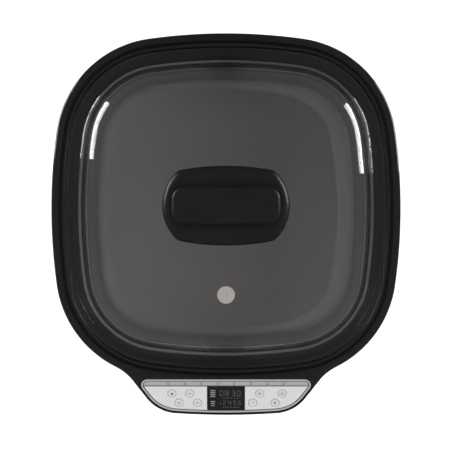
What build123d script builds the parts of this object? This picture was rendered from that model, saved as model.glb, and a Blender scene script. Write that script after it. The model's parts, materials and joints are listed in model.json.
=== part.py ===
from build123d import *
from math import atan2, cos, degrees, radians, sin, sqrt
import os

# Square digital slow cooker. Millimetres, +Z up, floor at z = 0, control panel towards -Y.
# Every part is built round the centre of the square outline, then moved back by origin_shift,
# which puts the origin under the middle of the whole object's box.

# ---- outline: a square with bowed sides and generous corners ----
half_width = 167.0          # centre to the middle of a side, at the rim
side_radius = 530.0         # bow of each side
corner_radius = 103.4       # round of each corner
core_margin = 6.4           # rings stop this far outside the smallest possible outline

# ---- heights ----
foot_height = 8.0
rim_height = 165.0          # floor to the rim's flat top
seat_drop = 7.8             # rim's flat top down to the ledge that carries the pot
rim_depth = 19.0            # rim's flat top down to its parting line with the housing

# ---- general ----
gap = 0.3                   # running clearance between moving pieces
snug = 0.1                  # clearance between fixed pieces
over = 5.0                  # how far a cutting shape runs past what it cuts

# ---- rim and housing ----
base_inset = 17.0           # how much narrower the housing is at the floor end
housing_wall = 2.6
base_edge_round = 14.0
rim_width = 6.8             # flat top of the rim
skirt = 2.2                 # rim wall that covers the housing's edge
skirt_depth = 3.0
seat_width = 8.2            # how far the pot's ledge stands in from the rim
seat_thickness = 2.6
clamp_inset = 10.7          # rim's face in to the housing's clamp ring
clamp_ring_width = 2.2
edge_round = 3.0

# ---- screws ----
screw_radius = 1.45
pilot = 0.05                # hole round a screw that bites
clear = 0.3                 # hole round a screw that passes
rim_screw_inset = 2.5       # clamp ring out to the rim screws
rim_screw_head, rim_screw_head_height = 2.4, 2.2
base_screw_head = 3.2
base_screw_inset = 4.6      # cover's edge in to the base screws

# ---- control panel, measured down the slope from its upper edge ----
panel_angle = 20.0
crease_inset = 4.2          # the slope starts this far inside the rim's front
crease_round = 8.0
deck_thickness = 3.2
bezel_top = 0.96
bezel_upper_round = 6.0
bezel_width = 1.6
bezel_rise = 0.4
recess_depth = 1.2
overlay_margin = 2.4
strip_bottom = 8.5
strip_split = 0.5
display_half = 18.1
display_border = 1.5        # window overlapping the opening behind it
button_radius = 3.9
button_travel = 0.6
button_rise = 0.45
button_flange = 1.1         # how far the retaining flange stands out
first_row = 7.25            # label strip to the upper keys
row_pitch = 9.65
last_row = 10.2             # lower keys to the bezel's lower edge
light_radius = 0.9
light_count = 8
light_pitch = 15.8
light_row = 6.0
board_depth = 10.0          # top of the control board below the deck
board_thickness = 1.6
control_board_top = 5.0
control_board_drop = 5.6    # board beyond the lower keys
control_board_inset = 1.6   # pod's front corner in to the board's side
control_board_cut = 12.5    # cut-off front corners
switch_size = 6.0
switch_height = 3.2
upper_row = strip_bottom + first_row
lower_row = upper_row + row_pitch
BUTTONS = {
    "button_menu": (-51.7, upper_row), "button_preset": (-34.9, upper_row),
    "button_plus": (-45.0, lower_row), "button_minus": (-27.3, lower_row),
    "button_keep_warm": (32.3, upper_row), "button_power": (53.9, upper_row),
    "button_timer": (25.5, lower_row), "button_start": (47.1, lower_row),
}

# ---- control pod ----
panel_margin = 2.925        # the bezel keeps this far inside the pod's edge
key_margin = 12.1           # outermost key to the pod's front corner
pod_front_bow = 3.0
pod_side_slant = 0.752      # sideways run of the pod's side per unit of depth
pod_corner_round = 38.0
pod_root_depth = 17.0       # how far it reaches in under the rim
pod_root_round = 45.0
pod_wall = 2.6
pod_depth = 30.0            # below the rim's parting line
pod_taper = 32.0            # slant of the tub's sides
pod_reveal = 0.6            # shadow line between rim and tub
wire_slot_half, wire_slot_height = 9.0, 16.0

# ---- pot ----
pot_rim_gap = 1.8           # pot's rim to the rim's inner wall
pot_bead_width = 4.4
pot_bead_height = 5.8
pot_flange = 17.1           # pot's rim to its wall
pot_draft = 8.3             # how much narrower the wall is at the floor
pot_ledge = 2.5
pot_wall = 2.5
pot_floor = 3.0
pot_bottom_round = 22.0

# ---- lid ----
lid_clearance = 0.6
glass = 4.0
bead_rise = 0.9
bead_width, bead_foot = 4.8, 1.2
lid_flange = 14.4           # lid's edge to the foot of its shoulder
flange_round = 8.0          # hollow at the shoulder's foot
shoulder_lean = 2.4
lid_rise = 41.3             # lid ledge to the glass top
shoulder_round = 27.0
crown_width = 38.6          # shoulder to the flat top
crown_round = 150.0
top_fall = 3.5
vent_inset = 16.0           # edge of the flat top in to the vent's centre
vent_radius = 8.3
vent_neck = 4.6
vent_thickness = 1.8
vent_lip = 1.5
vent_hole = 1.0
handle_length = 119.5
handle_width = 75.0
handle_end_bow = 14.5
handle_side_bow = 4.6
handle_corner_round = 11.0
handle_setback = 1.8        # the handle sits a little behind the middle
handle_base_height = 10.5
handle_base_round = 7.0
grip_inset = 9.25           # handle's end to the grip's end
grip_width = 34.6
grip_corner_round = 11.5
grip_height = 18.5
grip_head = 8.0             # straight upper part of the grip
grip_undercut = 6.0         # how far the fingers reach in under it
gasket_inset = 3.0
gasket_thickness = 0.8
handle_screw_inset = 16.5   # grip's end to a screw
handle_screw_radius = 2.4
handle_screw_clear = 0.6
handle_screw_head = (4.6, 2.8)
handle_screw_bite = 8.0
washer_radius, washer_thickness = 7.0, 1.2

# ---- heating well ----
well_wall = 1.0
well_gap = 6.2              # air between the pot and the well
well_bottom_round = 18.0
heater_gap = 0.6            # heater to the pot's floor
heater_margin = 27.2        # heater's edge to the round of the well's floor
heater_thickness = 6.4
terminal_radius, terminal_length = 2.0, 9.0
terminal_setout, terminal_gap = 60.0, 24.0
sensor_hole = 21.0
sensor_cap_radius, sensor_cap_thickness = 15.0, 2.6
sensor_stem = 5.5
sensor_cup_depth = 12.0
sensor_cup_wall = 2.0
sensor_cup_flange = 5.0
spring_wire, spring_radius, spring_turns = 0.7, 9.0, 4
fuse_radius, fuse_length, fuse_place = 3.0, 24.0, (60.0, 30.0)
band_rise, band_height = 8.0, 24.0          # above the pot's floor
band_gap, band_thickness, band_split = 0.2, 1.4, 16.0
blanket_rise, blanket_drop = 12.0, 34.0     # above the well's floor, below the rim
blanket_gap, blanket_thickness = 1.8, 2.4

# ---- base ----
cover_thickness = 2.5
cover_gap = 0.4
cover_flange = 10.0         # housing ledge above the cover's edge
vent_slots, vent_slot_pitch, vent_slot_start = 5, 11.0, 44.0
vent_slot_length, vent_slot_width = 46.0, 3.5
foot_radius = 12.0
foot_inset = 25.0           # cover's corner in to the foot's centre
foot_stud = 4.0
grip_drop = 43.0            # rim's flat top to the hand pocket's upper edge
pocket_height = 32.0
pocket_half_length = 52.0
pocket_wall = 2.4
pocket_frame = 4.0
inlet_half_width, inlet_half_height = 15.8, 11.8
inlet_height = 30.0
inlet_depth = 24.0
inlet_wall, inlet_back_wall = 3.6, 11.0
blade_places = ((-7.0, -2.0), (7.0, -2.0), (0.0, 3.5))
blade_half = (1.0, 2.2)
blade_tail, blade_recess = 6.0, 4.0
post_height = 7.0           # cover to the power board
post_radius, post_inset = 3.0, 6.0
power_board_width, power_board_depth = 90.0, 72.0
power_board_inset = 11.0    # cover's corner in to the board's corner
power_board_setback = 8.0
# the places are measured from the board's rear left corner
transformer_size, transformer_place = (32.0, 28.0, 20.0), (6.0, 24.0)
relay_size, relay_place = (18.0, 16.0, 12.0), (44.0, 50.0)
capacitor_radius, capacitor_height = 7.5, 17.0
capacitor_places, capacitor_rear = (52.0, 72.0), 16.0
well_clearance = 4.9        # transformer to the well's floor
wire_radius = 1.6
wire_clearance = 1.8

# ---- worked out from the sizes above ----
bow_offset = side_radius - half_width
corner_centre = (sqrt(2 * (side_radius - corner_radius) ** 2 - bow_offset ** 2) - bow_offset) / 2
side_angle = degrees(atan2(corner_centre, corner_centre + bow_offset))
core_reach = half_width - corner_radius + core_margin
seat_height = rim_height - seat_drop
rim_bottom = rim_height - rim_depth
rim_inner = half_width - rim_width
base_reach = half_width - base_inset
wall_slope = (half_width - skirt - base_reach) / (rim_bottom - foot_height)
clamp_bottom = rim_bottom + skirt_depth
clamp_reach = half_width - clamp_inset
rim_screw_reach = clamp_reach + rim_screw_inset
cover_reach = base_reach - base_edge_round + 0.6
board_low = foot_height + cover_thickness + post_height
well_bottom = board_low + board_thickness + transformer_size[2] + well_clearance
pot_bottom = well_bottom + well_wall + heater_thickness + heater_gap
pot_rim_reach = rim_inner - pot_rim_gap
pot_top_reach = pot_rim_reach - pot_flange
pot_bottom_reach = pot_top_reach - pot_draft
well_top_reach = pot_top_reach + well_gap + well_wall
well_bottom_reach = pot_bottom_reach + well_gap + well_wall
lid_seat = seat_height + pot_ledge
glass_top = lid_seat + lid_rise
lid_edge = pot_rim_reach - pot_bead_width - lid_clearance
shoulder_foot = lid_edge - lid_flange
shoulder_reach = shoulder_foot - shoulder_lean
top_flat = shoulder_reach - crown_width
vent_offset = top_flat - vent_inset
grip_length = handle_length - 2 * grip_inset
pocket_high = rim_height - grip_drop
pocket_low = pocket_high - pocket_height
bezel_bottom = lower_row + last_row
pod_front_half = max(x for x, _ in BUTTONS.values()) + key_margin
display_bottom = bezel_bottom - overlay_margin - 0.4
pod_projection = (bezel_bottom + panel_margin) * cos(radians(panel_angle)) - crease_inset
rim_screw_tip = seat_height - seat_thickness - 0.4
pod_front = half_width + pod_projection
pod_bottom = rim_bottom - pod_depth
wire_slot_low = pod_bottom + 6
origin_shift = pod_projection / 2
deck = Plane(
    origin=(0, -(half_width - crease_inset), rim_height),
    x_dir=(1, 0, 0),
    z_dir=(0, -sin(radians(panel_angle)), cos(radians(panel_angle))),
)


# ---------------------------------------------------------------- shared shapes
def squircle(reach):
    """Face bounded by the square outline, its sides `reach` from the centre."""
    inset = half_width - reach
    arcs = []
    for quarter in range(4):
        turn = Rot(0, 0, 90 * quarter)
        bow = side_radius - inset
        ends = [
            (bow * cos(radians(a)) - bow_offset, bow * sin(radians(a))) for a in (-side_angle, side_angle)
        ]
        diagonal = corner_centre + (corner_radius - inset) * cos(radians(45))
        arcs.append(turn * ThreePointArc(ends[0], (reach, 0), ends[1]))
        arcs.append(turn * ThreePointArc(ends[1], (diagonal, diagonal), (ends[1][1], ends[1][0])))
    return make_face(Wire(arcs))


def slab(reach, low, high):
    """Solid block of the square outline between two heights."""
    return Pos(0, 0, low) * extrude(squircle(reach), high - low)


def section(*corners):
    """Cross-section face from (reach, height, round) corners."""
    points = [corner[:2] for corner in corners]
    rounds = [corner[2] if len(corner) > 2 else 0 for corner in corners]
    return Plane.XZ * make_face(FilletPolyline(*points, radius=rounds, close=True))


def ring(profile):
    """Carry a cross-section round the square outline, one revolve for each arc."""
    parts = []
    for quarter in range(4):
        turn = Rot(0, 0, 90 * quarter)
        side = revolve(profile, Axis((-bow_offset, 0, 0), (0, 0, 1)), 2 * side_angle)
        side = Pos(-bow_offset, 0, 0) * Rot(0, 0, -side_angle) * Pos(bow_offset, 0, 0) * side
        corner = revolve(Pos(corner_radius - half_width, 0, 0) * profile, Axis.Z, 90 - 2 * side_angle)
        corner = Pos(corner_centre, corner_centre, 0) * Rot(0, 0, side_angle) * corner
        parts += [turn * side, turn * corner]
    return parts[0].fuse(*parts[1:])


def band(*corners):
    return ring(section(*corners))


def block(x, y, z):
    """Box from three (low, high) pairs."""
    centre = [(low + high) / 2 for low, high in (x, y, z)]
    return Pos(*centre) * Box(x[1] - x[0], y[1] - y[0], z[1] - z[0])


def disc(radius, low, high, x=0, y=0):
    return Pos(x, y, (low + high) / 2) * Cylinder(radius, high - low)


def panel_plate(face, low, high):
    """Extrude a panel sketch between two depths measured square to the deck."""
    return deck * (Pos(0, 0, low) * extrude(face, high - low))


def panel_pin(x, down, radius, low, high):
    """Round piece square to the deck."""
    return deck * (Pos(x, -down, (low + high) / 2) * Cylinder(radius, high - low))


def ring_points(reach):
    """The eight points of the outline where its sides meet its corners."""
    bow = side_radius - (half_width - reach)
    points = []
    for quarter in range(4):
        for angle in (-side_angle, side_angle):
            along, across = bow * cos(radians(angle)) - bow_offset, bow * sin(radians(angle))
            turned = Rot(0, 0, 90 * quarter) * Pos(along, across, 0)
            points.append((turned.position.X, turned.position.Y))
    return points


def diagonal(reach):
    """Both coordinates of the outline's corner point."""
    return corner_centre + (corner_radius - half_width + reach) * cos(radians(45))


def housing_reach(height):
    return base_reach + (height - foot_height) * wall_slope


def well_reach(height):
    rise = (height - well_bottom) / (seat_height - seat_thickness - well_bottom)
    return well_bottom_reach + (well_top_reach - well_bottom_reach) * rise


def blanket_reach(height):
    """Outside of the insulation."""
    return well_reach(height) + blanket_gap + blanket_thickness


# ---------------------------------------------------------------- housing and rim
def pod_half(depth):
    """Half width of the pod at a distance in front of the centre."""
    return pod_front_half + (pod_front - pod_front_bow - depth) * pod_side_slant


def pod_outline():
    """Plan of the control pod, reaching back under the rim."""
    front_corner = pod_front - pod_front_bow
    root = half_width - pod_root_depth
    root_half = pod_half(root)
    edges = [
        Line((-root_half, -root), (root_half, -root)),
        Line((root_half, -root), (pod_front_half, -front_corner)),
        ThreePointArc((pod_front_half, -front_corner), (0, -pod_front), (-pod_front_half, -front_corner)),
        Line((-pod_front_half, -front_corner), (-root_half, -root)),
    ]
    face = make_face(Wire(edges))
    return fillet(face.vertices().sort_by(Axis.Y)[0:2], pod_corner_round)


def top_outline():
    """Plan of the rim with the pod blended into it: moving out and back rounds the roots."""
    face = squircle(half_width) + pod_outline()
    return offset(offset(face, pod_root_round), -pod_root_round)


def above_deck(depth):
    """Everything above a plane parallel to the deck."""
    return deck * Pos(0, 0, rim_height / 2 + depth) * Box(3 * half_width, 3 * half_width, rim_height)


def make_top_rim():
    """Gloss rim with the sloped control deck and the ledge that carries the pot."""
    body = Pos(0, 0, rim_bottom) * extrude(top_outline(), rim_height - rim_bottom)
    body -= above_deck(0)
    crease = body.edges().filter_by(Axis.X).sort_by(Axis.Z)[-1]
    body = fillet(crease, crease_round)
    tops = [f for f in body.faces() if f.normal_at(f.center()).Z > 0.9]
    shared = [e for f in tops for e in f.edges()]
    outer = [e for e in shared if sum(1 for o in shared if o.is_same(e)) == 1]
    body = fillet(outer, edge_round)
    body -= slab(rim_inner, seat_height, rim_height + 1)
    body -= slab(rim_inner - seat_width, clamp_bottom, seat_height)
    body -= slab(clamp_reach + snug, clamp_bottom, seat_height - seat_thickness)
    body -= slab(half_width - skirt, rim_bottom, clamp_bottom)
    body -= pod_cavity()
    body -= panel_plate(panel_face(0), -recess_depth, over)
    body -= panel_plate(display_opening(display_border), -board_depth, 0)
    for x, down in BUTTONS.values():
        body -= panel_pin(x, down, button_radius + gap, -board_depth, 0)
    for x in light_places():
        body -= panel_pin(x, light_row, light_radius + snug, -board_depth, 0)
    for x, y in ring_points(rim_screw_reach):
        body -= disc(screw_radius + pilot, clamp_bottom, rim_screw_tip + 1, x, y)
    return body


def pod_cavity():
    """Hollow under the deck, shared by the rim and the pod's lower shell."""
    inner = offset(pod_outline(), -pod_wall) - squircle(rim_inner + pod_wall)
    hollow = Pos(0, 0, rim_bottom - 1) * extrude(inner, rim_height - rim_bottom)
    return hollow - above_deck(-deck_thickness)


def make_outer_housing():
    """Tapered outer shell with the clamp ring that holds the well under the rim."""
    top = clamp_bottom - snug
    ring_top = seat_height - seat_thickness - well_wall - 2 * snug
    wall_top = half_width - skirt - 2 * snug
    ledge_low, ledge_high = foot_height + housing_wall, foot_height + 2 * housing_wall
    opening = cover_reach + cover_gap
    shell = band(
        (opening, foot_height),
        (base_reach, foot_height, base_edge_round),
        (wall_top, top),
        (clamp_reach, top),
        (clamp_reach, ring_top),
        (clamp_reach - clamp_ring_width, ring_top),
        (clamp_reach - clamp_ring_width, top - housing_wall),
        (wall_top - housing_wall - gap, top - housing_wall),
        (base_reach - housing_wall + cover_gap, ledge_high, base_edge_round - housing_wall),
        (opening - cover_flange, ledge_high),
        (opening - cover_flange, ledge_low),
        (opening, ledge_low),
    )
    for side in (-1, 1):
        x = sorted((side * (base_reach - 2 * over), side * (half_width + over)))
        shell -= block(x, (-pocket_half_length, pocket_half_length), (pocket_low, pocket_high))
    rear = (base_reach - inlet_depth - over, half_width + over)
    half_w, half_h = inlet_half_width + snug, inlet_half_height + snug
    shell -= block((-half_w, half_w), rear, (inlet_height - half_h, inlet_height + half_h))
    front = (-half_width - over, -base_reach)
    slot = (wire_slot_low, wire_slot_low + wire_slot_height)
    shell -= block((-wire_slot_half, wire_slot_half), front, slot)
    for x, y in ring_points(rim_screw_reach):
        shell -= disc(screw_radius + clear, top - housing_wall - 1, top + 1, x, y)
    for x, y in ring_points(cover_reach - base_screw_inset):
        shell -= disc(screw_radius + pilot, foot_height, ledge_high + 1, x, y)
    return shell


def make_control_housing():
    """Lower shell of the control pod: a tapered tub against the front of the housing."""
    def tub(inset, low, high):
        outline = offset(pod_outline(), -pod_reveal - inset)
        return Pos(0, 0, high) * extrude(outline, low - high, taper=pod_taper)

    top = rim_bottom - snug
    shell = tub(0, pod_bottom, top) - tub(pod_wall, pod_bottom + pod_wall, top)
    low, high = pod_bottom - over, rim_bottom + over
    keep_out = band(
        (core_reach, low), (housing_reach(low) + snug, low),
        (housing_reach(high) + snug, high), (core_reach, high)
    )
    return shell - keep_out


# ---------------------------------------------------------------- control panel
def panel_face(inset):
    """Outline of the panel in the deck's plane: the pod's edge, moved in, below the upper edge."""
    slope = cos(radians(panel_angle))
    corner = (pod_front - pod_front_bow - half_width + crease_inset) / slope
    front = bezel_bottom + panel_margin
    wide = pod_front_half + (corner + over) * pod_side_slant * slope
    edges = [
        Line((-wide, over), (wide, over)),
        Line((wide, over), (pod_front_half, -corner)),
        ThreePointArc((pod_front_half, -corner), (0, -front), (-pod_front_half, -corner)),
        Line((-pod_front_half, -corner), (-wide, over)),
    ]
    face = make_face(Wire(edges))
    face = fillet(face.vertices().sort_by(Axis.Y)[0:2], pod_corner_round)
    face = offset(face, -panel_margin) & panel_zone((-wide, wide), (bezel_top, front))
    face = fillet(face.vertices().sort_by(Axis.Y)[-2:], bezel_upper_round)
    return offset(face, -inset) if inset else face


def panel_zone(x, down):
    """Rectangle of the panel between two x values and two distances down the slope."""
    width, height = x[1] - x[0], down[1] - down[0]
    return Pos((x[0] + x[1]) / 2, -(down[0] + down[1]) / 2) * Rectangle(width, height)


def display_opening(border):
    """Rectangle inside the display window."""
    middle = (display_bottom + strip_bottom) / 2
    height = display_bottom - strip_bottom - 2 * border
    return Pos(0, -middle) * Rectangle(2 * (display_half - border), height)


def light_places():
    return [(i - (light_count - 1) / 2) * light_pitch for i in range(light_count)]


def make_panel():
    """Bezel, label strip, two overlays, display and everything that stands behind them."""
    nodes = {}
    reach = half_width
    field = panel_face(overlay_margin)
    nodes["panel_bezel"] = panel_plate(panel_face(snug) - panel_face(bezel_width), -recess_depth, bezel_rise)
    upper = panel_zone((-reach, reach), (0, strip_bottom - strip_split))
    strip = panel_plate(field & upper, -recess_depth, -0.1)
    for x in light_places():
        strip -= panel_pin(x, light_row, light_radius + snug, -over, over)
    nodes["label_strip"] = strip
    inner = display_half + snug
    for name, x in (("overlay_left", (-reach, -inner)), ("overlay_right", (inner, reach))):
        plate = panel_plate(field & panel_zone(x, (strip_bottom, bezel_bottom + over)), -recess_depth, 0)
        for place, down in BUTTONS.values():
            plate -= panel_pin(place, down, button_radius + gap, -over, over)
        nodes[name] = plate
    window = field & panel_zone((-display_half, display_half), (strip_bottom, bezel_bottom + over))
    nodes["display_window"] = panel_plate(window, -recess_depth, -0.05)
    opening = display_opening(display_border + gap)
    nodes["display_module"] = panel_plate(opening, -board_depth, -recess_depth - 0.2)
    pipes = [panel_pin(x, light_row, light_radius, -board_depth, -0.1) for x in light_places()]
    nodes["indicator_lights"] = Compound(pipes)
    wide, low = pod_front_half - control_board_inset, lower_row + control_board_drop
    narrow, shoulder = wide - control_board_cut, control_board_cut - low
    board = make_face(Polyline(
        (-wide, -control_board_top), (wide, -control_board_top), (wide, shoulder),
        (narrow, -low), (-narrow, -low), (-wide, shoulder), close=True
    ))
    nodes["control_board"] = panel_plate(board, -board_depth - board_thickness, -board_depth)
    switch = Rectangle(switch_size, switch_size)
    switches = [
        panel_plate(Pos(x, -down) * switch, -board_depth, -board_depth + switch_height)
        for x, down in BUTTONS.values()
    ]
    nodes["tact_switches"] = Compound(switches)
    return nodes


def make_button(x, down):
    """Round key held under the deck by its flange."""
    foot = -board_depth + switch_height + button_travel + snug
    flange_top = -deck_thickness - gap
    cap = Cylinder(button_radius, button_rise - foot)
    cap = fillet(cap.edges().sort_by(Axis.Z)[-1], 0.4)
    cap = Pos(0, 0, (button_rise + foot) / 2) * cap
    flange = Cylinder(button_radius + button_flange, flange_top - foot)
    key = cap + Pos(0, 0, (foot + flange_top) / 2) * flange
    return deck * (Pos(x, -down, 0) * key)


# ---------------------------------------------------------------- heating well
def make_inner_well():
    """Steel well that the pot hangs in."""
    top = seat_height - seat_thickness - snug
    low = well_bottom
    shell = band(
        (clamp_reach - snug, top - well_wall),
        (clamp_reach - snug, top),
        (well_top_reach - well_wall, top, 2),
        (well_bottom_reach - well_wall, low + well_wall, well_bottom_round - well_wall),
        (core_reach, low + well_wall),
        (core_reach, low),
        (well_bottom_reach, low, well_bottom_round),
        (well_top_reach, top - well_wall, 1),
    )
    shell += slab(core_reach, low, low + well_wall)
    return shell - disc(sensor_hole, low - 1, low + 2)


def make_base_heater():
    """Round cast plate that lies on the well's floor."""
    low = well_bottom + well_wall
    radius = well_bottom_reach - well_bottom_round - heater_margin
    plate = disc(radius, low, low + heater_thickness)
    plate = fillet(plate.edges().sort_by(Axis.Z)[-1], 1.5)
    plate -= disc(sensor_hole, low - 1, low + heater_thickness + 1)
    return plate


def make_heater_terminals():
    """Two threaded terminals under the well's floor."""
    low, high = well_bottom - terminal_length, well_bottom - snug
    places = (-terminal_gap / 2, terminal_gap / 2)
    return Compound([disc(terminal_radius, low, high, x, -terminal_setout) for x in places])


def well_jacket(inner, thickness, low, high):
    """Sleeve that follows the outside of the well."""
    return band(
        (well_reach(low) + inner, low), (well_reach(low) + inner + thickness, low),
        (well_reach(high) + inner + thickness, high), (well_reach(high) + inner, high),
    )


def make_sensor():
    """Spring-loaded temperature sensor that touches the pot's floor."""
    cap_top = pot_bottom - gap
    cap_bottom = cap_top - sensor_cap_thickness
    cup_low, cup_floor = well_bottom - sensor_cup_depth, well_bottom - sensor_cup_depth + sensor_cup_wall
    plunger = disc(sensor_cap_radius, cap_bottom, cap_top) + disc(sensor_stem, cup_low - 2, cap_bottom)
    cup = disc(sensor_hole + sensor_cup_flange, well_bottom - 2, well_bottom - snug)
    cup += disc(sensor_hole, cup_low, well_bottom - 2)
    cup -= disc(sensor_hole - sensor_cup_wall, cup_floor, well_bottom + 1)
    cup -= disc(sensor_stem + gap, cup_low - 1, cup_floor + 1)
    low, high = cup_floor + spring_wire + snug, cap_bottom - spring_wire - snug
    coil = Helix((high - low) / spring_turns, high - low, spring_radius)
    start = Plane(coil @ 0, z_dir=coil % 0)
    spring = Pos(0, 0, low) * sweep(start * Circle(spring_wire), coil, is_frenet=True)
    return {"sensor_plunger": plunger, "sensor_spring": spring, "sensor_bracket": cup}


# ---------------------------------------------------------------- pot and lid
def make_pot():
    """Nonstick pot: rolled rim, ledge for the lid, tapered wall and thick floor."""
    top = seat_height + pot_bead_height
    bead_inner = pot_rim_reach - pot_bead_width
    shell = band(
        (pot_rim_reach, seat_height, 0.8),
        (pot_rim_reach, top, 2.1),
        (bead_inner, top, 2.1),
        (bead_inner, lid_seat),
        (pot_top_reach - pot_wall, lid_seat, 2),
        (pot_bottom_reach - pot_wall, pot_bottom + pot_floor, pot_bottom_round - pot_wall),
        (core_reach, pot_bottom + pot_floor),
        (core_reach, pot_bottom),
        (pot_bottom_reach, pot_bottom, pot_bottom_round),
        (pot_top_reach, seat_height, 1),
    )
    return shell + slab(core_reach, pot_bottom, pot_bottom + pot_floor)


def make_glass():
    """Tempered dome lid with a rolled edge."""
    edge = lid_edge
    flange_top = lid_seat + glass
    shell = band(
        (edge, lid_seat, 2.0),
        (edge, flange_top + bead_rise, 2.3),
        (edge - bead_width, flange_top + bead_rise, 1.6),
        (edge - bead_width - bead_foot, flange_top, 1.2),
        (shoulder_foot, flange_top, flange_round),
        (shoulder_reach, glass_top - top_fall, shoulder_round),
        (top_flat, glass_top, crown_round),
        (core_reach, glass_top),
        (core_reach, glass_top - glass),
        (top_flat, glass_top - glass, crown_round),
        (shoulder_reach - glass, glass_top - top_fall - glass, shoulder_round - glass),
        (shoulder_foot - glass, lid_seat, 1.5),
    )
    shell += slab(core_reach, glass_top - glass, glass_top)
    shell -= disc(vent_neck + snug, glass_top - 2 * over, glass_top + over, 0, -vent_offset)
    for x, y in handle_screw_places():
        shell -= disc(handle_screw_radius + handle_screw_clear, glass_top - 2 * over, glass_top + over, x, y)
    return shell


def handle_screw_places():
    reach = grip_length / 2 - handle_screw_inset
    return [(-reach, handle_setback), (reach, handle_setback)]


def barrel(inset):
    """Plan of the handle's base, all four sides bulging."""
    x_end, y_end = handle_length / 2 - inset, handle_width / 2 - inset
    x, y = x_end - handle_end_bow, y_end - handle_side_bow
    edges = [
        ThreePointArc((x, -y), (x_end, 0), (x, y)),
        ThreePointArc((x, y), (0, y_end), (-x, y)),
        ThreePointArc((-x, y), (-x_end, 0), (-x, -y)),
        ThreePointArc((-x, -y), (0, -y_end), (x, -y)),
    ]
    face = make_face(Wire(edges))
    return Pos(0, handle_setback, 0) * fillet(face.vertices(), handle_corner_round)


def grip_plan(inset):
    size = (grip_length - 2 * inset, grip_width - 2 * inset)
    return Pos(0, handle_setback, 0) * RectangleRounded(*size, grip_corner_round - inset / 2)


def make_handle():
    """Wide base on a gasket, raised finger grip, and the screws from under the glass."""
    base_low = glass_top + gasket_thickness
    base_high = base_low + handle_base_height
    head_low = base_high + grip_height - grip_head
    base = Pos(0, 0, base_low) * extrude(barrel(0), handle_base_height)
    base = fillet(base.edges().group_by(Axis.Z)[-1], handle_base_round)
    gasket = Pos(0, 0, glass_top) * extrude(barrel(gasket_inset), gasket_thickness)
    waist = loft([Pos(0, 0, base_high) * grip_plan(grip_undercut), Pos(0, 0, head_low) * grip_plan(0)])
    head = Pos(0, 0, head_low) * extrude(grip_plan(0), grip_head)
    grip = waist + fillet(head.edges().group_by(Axis.Z)[-1], grip_head / 2)
    screws, washers = [], []
    under = glass_top - glass
    washer_low, tip = under - washer_thickness, base_high + handle_screw_bite
    head, head_height = handle_screw_head
    tight, loose = handle_screw_radius + snug, handle_screw_radius + handle_screw_clear
    for x, y in handle_screw_places():
        gasket -= disc(loose, glass_top - 1, base_low + 1, x, y)
        base -= disc(tight, base_low - 1, base_high + 1, x, y)
        grip -= disc(tight, base_high - 1, tip, x, y)
        hole = disc(tight, washer_low - 1, under + 1, x, y)
        washers.append(disc(washer_radius, washer_low, under, x, y) - hole)
        screws.append(screw(handle_screw_radius, head, x, y, washer_low - head_height, washer_low, tip))
    return {
        "handle_base": base, "handle_grip": grip, "handle_gasket": gasket,
        "handle_screws": Compound(screws), "screw_washers": Compound(washers),
    }


def make_vent():
    """Silicone steam vent: a disc above the glass, a neck through it and a lip below."""
    under = glass_top - glass
    y = -vent_offset
    vent = disc(vent_radius, glass_top, glass_top + vent_thickness, 0, y)
    vent = fillet(vent.edges().sort_by(Axis.Z)[-1], 0.6)
    vent += disc(vent_neck, under - vent_lip, glass_top, 0, y)
    vent += disc(vent_radius - vent_lip, under - vent_lip, under, 0, y)
    return vent - disc(vent_hole, under - over, glass_top + over, 0, y)


# ---------------------------------------------------------------- base and power
def make_bottom_cover():
    top = foot_height + cover_thickness
    cover = slab(cover_reach, foot_height, top)
    for side in (-1, 1):
        for row in range(vent_slots):
            x = side * (vent_slot_start + vent_slot_pitch * row)
            slot = SlotOverall(vent_slot_length, vent_slot_width, rotation=90)
            cover -= Pos(x, 0, foot_height) * extrude(slot, cover_thickness + 1)
    for x, y in foot_places():
        cover -= disc(foot_stud + snug, foot_height - 1, top + 1, x, y)
    for x, y in ring_points(cover_reach - base_screw_inset):
        cover -= disc(screw_radius + clear, foot_height - 1, top + 1, x, y)
        cover -= disc(base_screw_head + 2 * snug, foot_height - 1, foot_height + 1.3, x, y)
    for x, y in board_posts():
        cover += disc(post_radius, top, board_low, x, y)
    return cover


def foot_places():
    offset_ = diagonal(cover_reach) - foot_inset
    return [(x, y) for x in (-offset_, offset_) for y in (-offset_, offset_)]


def make_feet():
    feet = []
    height = foot_height - snug
    for x, y in foot_places():
        pad = Pos(x, y, height / 2) * Cone(foot_radius - 1.5, foot_radius, height)
        feet.append(pad + disc(foot_stud, foot_height - 1, foot_height + cover_thickness + 1.5, x, y))
    return Compound(feet)


def screw(radius, head, x, y, head_low, head_high, tip):
    return disc(head, head_low, head_high, x, y) + disc(radius, head_low, tip, x, y)


def make_base_screws():
    low = foot_height + snug
    places = ring_points(cover_reach - base_screw_inset)
    tip = foot_height + 2 * housing_wall + 1
    return Compound([screw(screw_radius, base_screw_head, x, y, low, low + 1.1, tip) for x, y in places])


def make_rim_screws():
    top = clamp_bottom - snug - housing_wall
    places = ring_points(rim_screw_reach)
    low = top - rim_screw_head_height
    return Compound([screw(screw_radius, rim_screw_head, x, y, low, top, rim_screw_tip) for x, y in places])


def board_corner():
    """Rear left corner of the power board, set in from the cover's corner."""
    reach = diagonal(cover_reach) - power_board_inset
    return -reach, reach - power_board_setback


def board_posts():
    x, y = board_corner()
    across = (post_inset, power_board_width - post_inset)
    back = (post_inset, power_board_depth - post_inset)
    return [(x + a, y - b) for a in across for b in back]


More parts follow.
